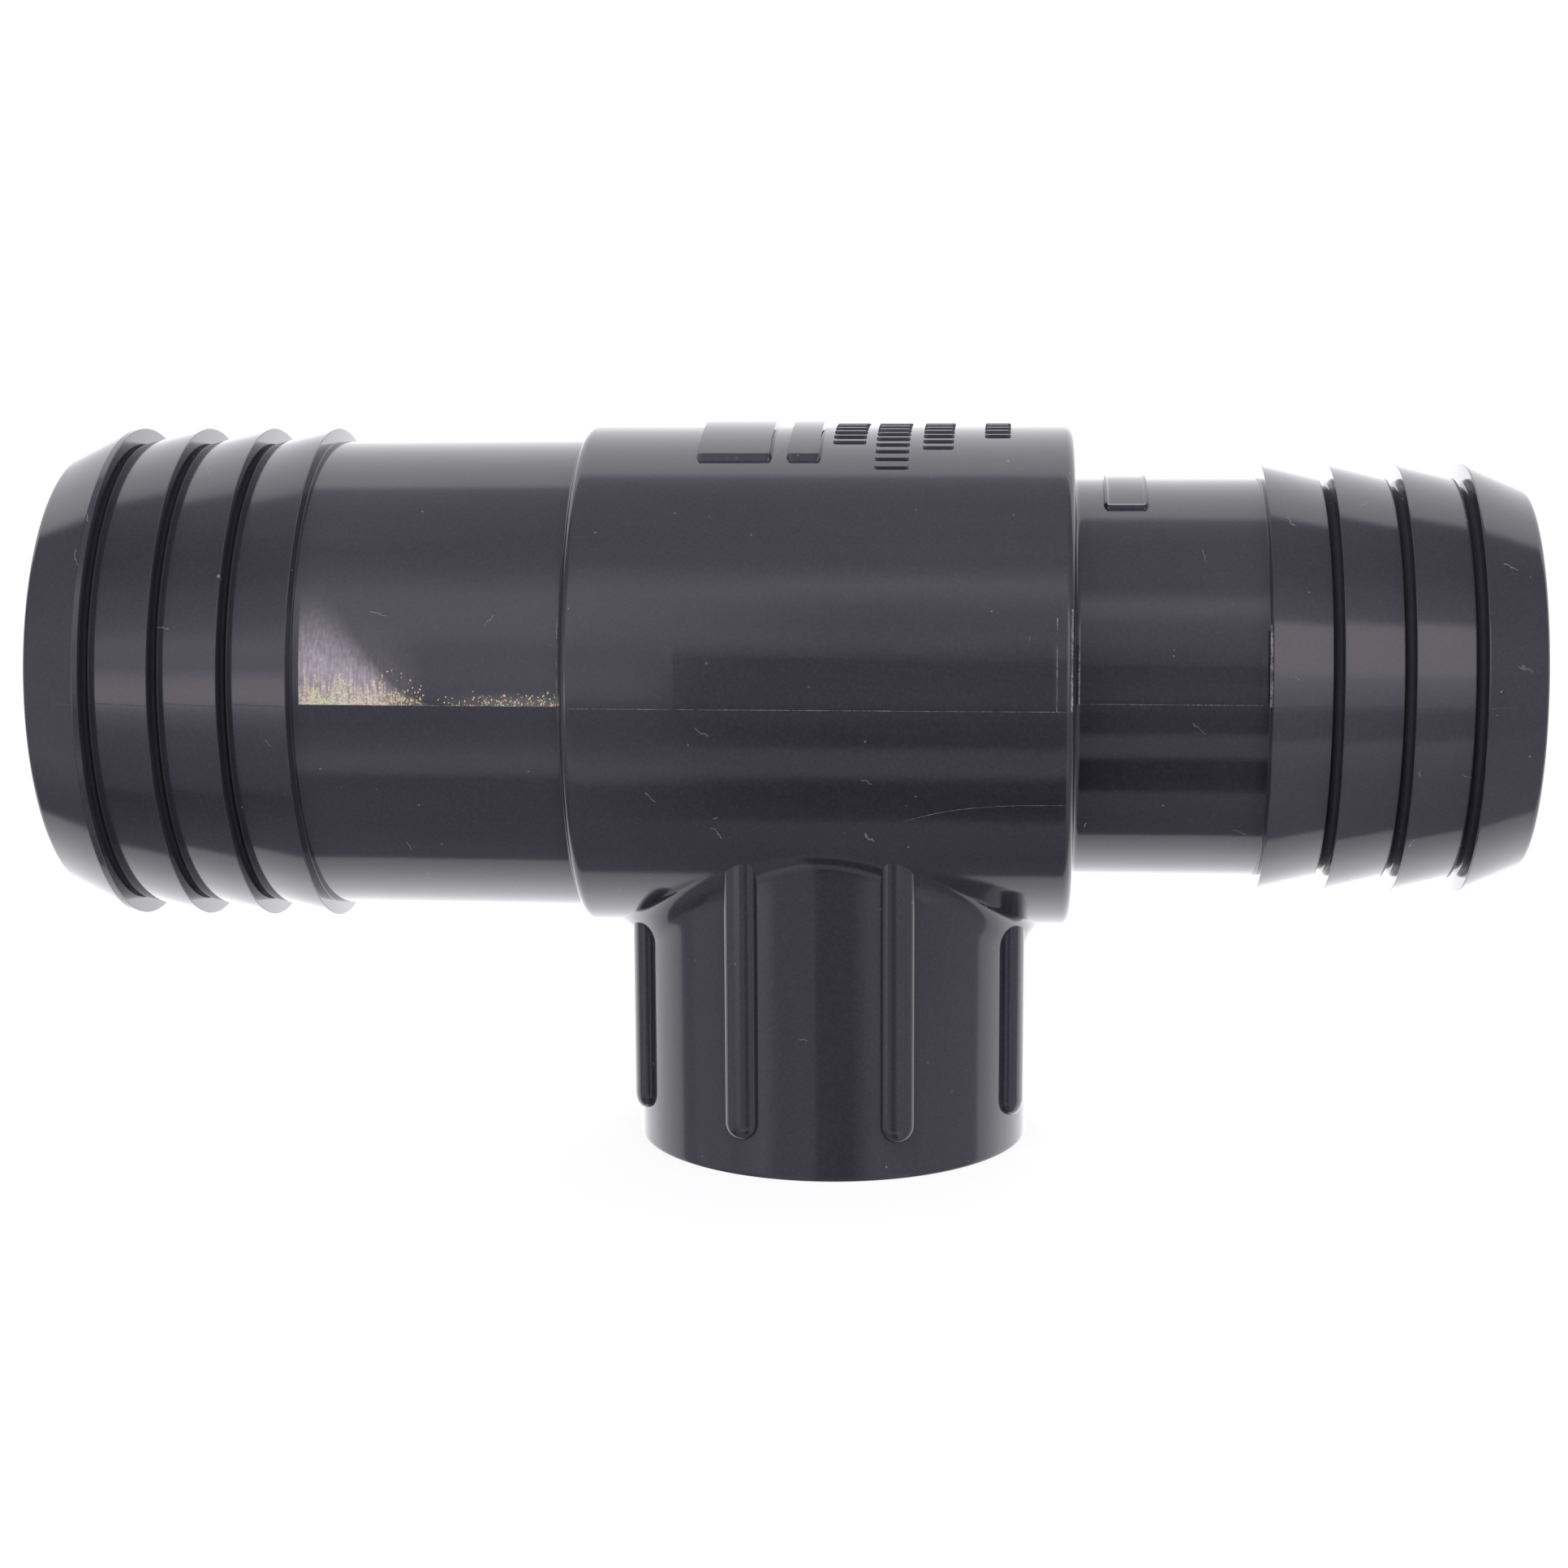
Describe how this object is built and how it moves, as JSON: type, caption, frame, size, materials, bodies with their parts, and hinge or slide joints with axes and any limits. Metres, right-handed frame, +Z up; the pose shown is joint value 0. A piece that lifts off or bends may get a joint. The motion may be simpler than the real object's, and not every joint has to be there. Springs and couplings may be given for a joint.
{
  "type": "barbed tee connector",
  "caption": "Reducing tee for hose: a large barbed tail and a smaller one in line, and a threaded socket outlet with grip ribs at right angles.",
  "frame": {"origin": "bottom centre of the part's box, on the plane of the outlet's flat end", "axes": "+X along the run, from the large hose tail at -X to the small hose tail at +X; +Z up, from the outlet's end to the run; +Y across both"},
  "size_m": [0.1242, 0.043, 0.0625],
  "materials": {
    "dark_grey_pvc": "moulded, semi-gloss"
  },
  "bodies": {
    "root": {"run_barrel": "dark_grey_pvc", "outlet_socket": "dark_grey_pvc", "grip_rib_1": "dark_grey_pvc", "grip_rib_2": "dark_grey_pvc", "grip_rib_3": "dark_grey_pvc", "grip_rib_4": "dark_grey_pvc", "grip_rib_5": "dark_grey_pvc", "grip_rib_6": "dark_grey_pvc", "grip_rib_7": "dark_grey_pvc", "grip_rib_8": "dark_grey_pvc", "large_hose_neck": "dark_grey_pvc", "large_barb_1": "dark_grey_pvc", "large_barb_2": "dark_grey_pvc", "large_barb_3": "dark_grey_pvc", "large_barb_4": "dark_grey_pvc", "small_hose_neck": "dark_grey_pvc", "small_barb_1": "dark_grey_pvc", "small_barb_2": "dark_grey_pvc", "small_barb_3": "dark_grey_pvc", "small_barb_4": "dark_grey_pvc"}
  },
  "joints": []
}
